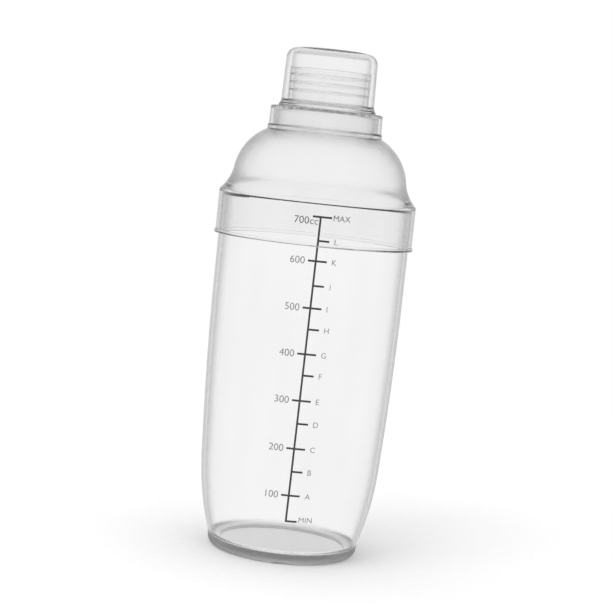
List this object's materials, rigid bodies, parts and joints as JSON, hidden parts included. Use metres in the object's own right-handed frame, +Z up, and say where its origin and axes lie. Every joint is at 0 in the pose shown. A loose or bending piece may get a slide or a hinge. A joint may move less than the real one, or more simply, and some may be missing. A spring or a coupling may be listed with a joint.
{
  "type": "shaker bottle",
  "caption": "Clear plastic drink shaker: a tapered cup with a printed scale, a domed lid over its rim, a strainer collar and a push-on cap.",
  "frame": {"origin": "middle of the ring that the cup stands on", "axes": "+Z up along the axis that every piece is turned about, -Y towards the printed scale"},
  "size_m": [0.0882, 0.0882, 0.2225],
  "materials": {
    "cup_plastic": "clear, polished",
    "lid_plastic": "clear, slightly hazed",
    "collar_plastic": "clear, slightly hazed",
    "cap_plastic": "clear, polished, thick wall",
    "scale_print": "screen printed ink"
  },
  "bodies": {
    "cup": {"cup": "cup_plastic"},
    "dome_lid": {"dome_lid": "lid_plastic"},
    "strainer_collar": {"strainer_collar": "collar_plastic"},
    "cap": {"cap": "cap_plastic"}
  },
  "joints": [
    {"name": "lid_lift", "type": "slide", "parent": "cup", "child": "dome_lid", "axis": [0, 0, 1], "range_m": [0, 0.06]},
    {"name": "collar_lift", "type": "slide", "parent": "dome_lid", "child": "strainer_collar", "axis": [0, 0, 1], "range_m": [0, 0.03]},
    {"name": "cap_lift", "type": "slide", "parent": "strainer_collar", "child": "cap", "axis": [0, 0, 1], "range_m": [0, 0.04]}
  ]
}
